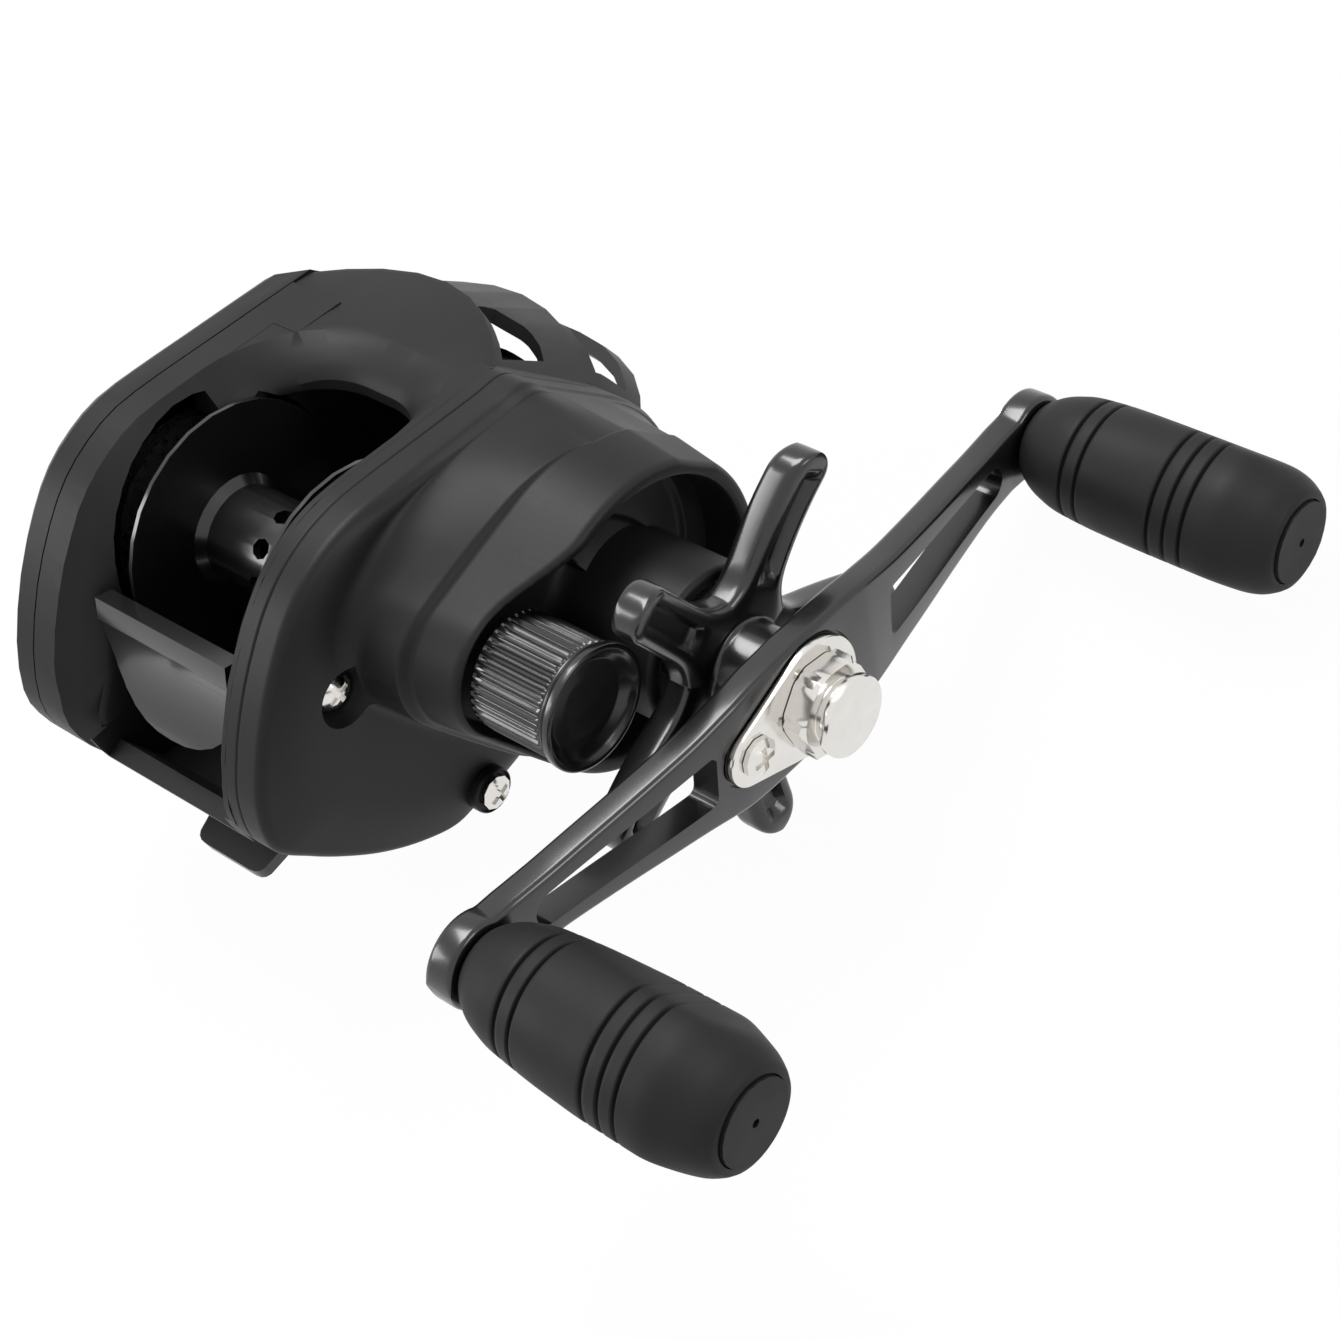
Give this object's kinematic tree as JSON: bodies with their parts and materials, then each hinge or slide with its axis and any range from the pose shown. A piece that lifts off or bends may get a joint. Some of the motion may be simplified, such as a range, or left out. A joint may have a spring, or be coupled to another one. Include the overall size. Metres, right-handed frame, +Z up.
{
  "type": "baitcasting fishing reel",
  "caption": "Low-profile baitcasting reel with a right-hand double handle, star drag, level wind, thumb bar clutch and cast control cap.",
  "frame": {"origin": "on the underside of the foot, straight below the middle of the spool", "axes": "+X across the reel towards the handle, +Y forwards along the rod towards its tip, +Z up, away from the rod"},
  "size_m": [0.1222, 0.1044, 0.0539],
  "materials": {
    "matte_body": "matte charcoal",
    "satin_black": "satin black",
    "gloss_metal": "gloss black",
    "grip": "soft black",
    "nickel": "bright nickel",
    "steel": "brushed",
    "brass": "machined",
    "carbon": "woven carbon",
    "white_plastic": "natural moulding"
  },
  "bodies": {
    "reel_body": {"frame": "matte_body", "level_wind_hood": "matte_body", "palm_side_plate": "matte_body", "gear_side_cover": "matte_body", "reel_foot": "gloss_metal", "foot_rivet_rear": "steel", "foot_rivet_front": "steel", "cover_screw_rear": "nickel", "cover_screw_lower": "nickel", "cover_screw_front": "nickel", "spool_bearing_palm": "steel", "spool_bearing_cast": "steel", "yoke_post_lower": "steel", "yoke_post_upper": "steel", "one_way_clutch": "steel", "shaft_bearing": "steel", "worm_bush_palm": "white_plastic", "worm_bush_gear": "white_plastic", "guide_rail": "steel"},
    "handle": {"drive_shaft": "steel", "wind_drive_gear": "white_plastic", "ratchet_wheel": "steel", "drive_gear": "brass", "drag_washer_inner": "carbon", "drag_washer_keyed": "steel", "drag_washer_outer": "carbon", "drag_pressure_washer": "steel", "clutch_sleeve": "steel", "drag_spring_washer": "steel", "handle_arm": "gloss_metal", "retainer_plate": "nickel", "retainer_screw": "nickel", "handle_nut": "nickel", "knob_spindle_front": "steel", "knob_spindle_rear": "steel", "knob_screw_front": "steel", "knob_screw_rear": "steel"},
    "star": {"star_drag": "gloss_metal"},
    "front_knob": {"knob_front": "grip", "knob_cap_front": "satin_black"},
    "rear_knob": {"knob_rear": "grip", "knob_cap_rear": "satin_black"},
    "spool_set": {"spool": "gloss_metal", "spool_shaft": "steel", "spool_pin": "steel"},
    "pinion": {"pinion_gear": "brass"},
    "yoke": {"clutch_yoke": "white_plastic", "yoke_spring_lower": "steel", "yoke_spring_upper": "steel"},
    "thumb": {"thumb_bar": "satin_black", "clutch_cam": "white_plastic"},
    "worm": {"worm_shaft": "steel", "worm_gear": "white_plastic"},
    "guide": {"line_guide": "satin_black", "line_guide_insert": "white_plastic", "guide_pawl": "brass", "guide_pawl_cap": "brass"},
    "cast_cap": {"cast_control_cap": "satin_black"},
    "dial": {"brake_dial": "satin_black"},
    "magnets": {"magnet_ring": "steel"}
  },
  "joints": [
    {"name": "handle_turn", "type": "hinge", "parent": "reel_body", "child": "handle", "pos_m": [0, 0.0144, 0.0135], "axis": [1, 0, 0], "continuous": true},
    {"name": "star_turn", "type": "hinge", "parent": "handle", "child": "star", "pos_m": [0.05, 0.0144, 0.0135], "axis": [1, 0, 0], "range_deg": [-180, 180]},
    {"name": "front_knob_spin", "type": "hinge", "parent": "handle", "child": "front_knob", "pos_m": [0.075, 0.05886, -0.00321], "axis": [1, 0, 0], "continuous": true},
    {"name": "rear_knob_spin", "type": "hinge", "parent": "handle", "child": "rear_knob", "pos_m": [0.075, -0.03006, 0.03021], "axis": [1, 0, 0], "continuous": true},
    {"name": "thumb_press", "type": "slide", "parent": "reel_body", "child": "thumb", "axis": [0, -0.5446, -0.8387], "range_m": [0, 0.0032]},
    {"name": "yoke_slide", "type": "slide", "parent": "reel_body", "child": "yoke", "axis": [1, 0, 0], "range_m": [0, 0.002]},
    {"name": "pinion_spin", "type": "hinge", "parent": "yoke", "child": "pinion", "pos_m": [0.02, 0, 0.024], "axis": [1, 0, 0], "continuous": true},
    {"name": "spool_spin", "type": "hinge", "parent": "reel_body", "child": "spool_set", "pos_m": [0, 0, 0.024], "axis": [1, 0, 0], "continuous": true},
    {"name": "worm_spin", "type": "hinge", "parent": "reel_body", "child": "worm", "pos_m": [0, 0.0275, 0.0145], "axis": [1, 0, 0], "continuous": true},
    {"name": "line_guide_travel", "type": "slide", "parent": "reel_body", "child": "guide", "axis": [1, 0, 0], "range_m": [-0.0068, 0.0068]},
    {"name": "cast_control_turn", "type": "hinge", "parent": "reel_body", "child": "cast_cap", "pos_m": [0.04, 0, 0.024], "axis": [1, 0, 0], "range_deg": [-360, 360]},
    {"name": "brake_dial_turn", "type": "hinge", "parent": "reel_body", "child": "dial", "pos_m": [-0.027, 0, 0.024], "axis": [1, 0, 0], "range_deg": [-135, 135]},
    {"name": "magnet_slide", "type": "slide", "parent": "reel_body", "child": "magnets", "axis": [1, 0, 0], "range_m": [-0.001, 0.001]}
  ],
  "couplings": [
    {"joint": "spool_spin", "follows": "handle_turn", "ratio": -6.3},
    {"joint": "pinion_spin", "follows": "handle_turn", "ratio": -6.3},
    {"joint": "worm_spin", "follows": "handle_turn", "ratio": -1.4444},
    {"joint": "yoke_slide", "follows": "thumb_press", "ratio": 0.625},
    {"joint": "brake_dial_turn", "follows": "magnet_slide", "rad_per_m": 2353.8}
  ]
}
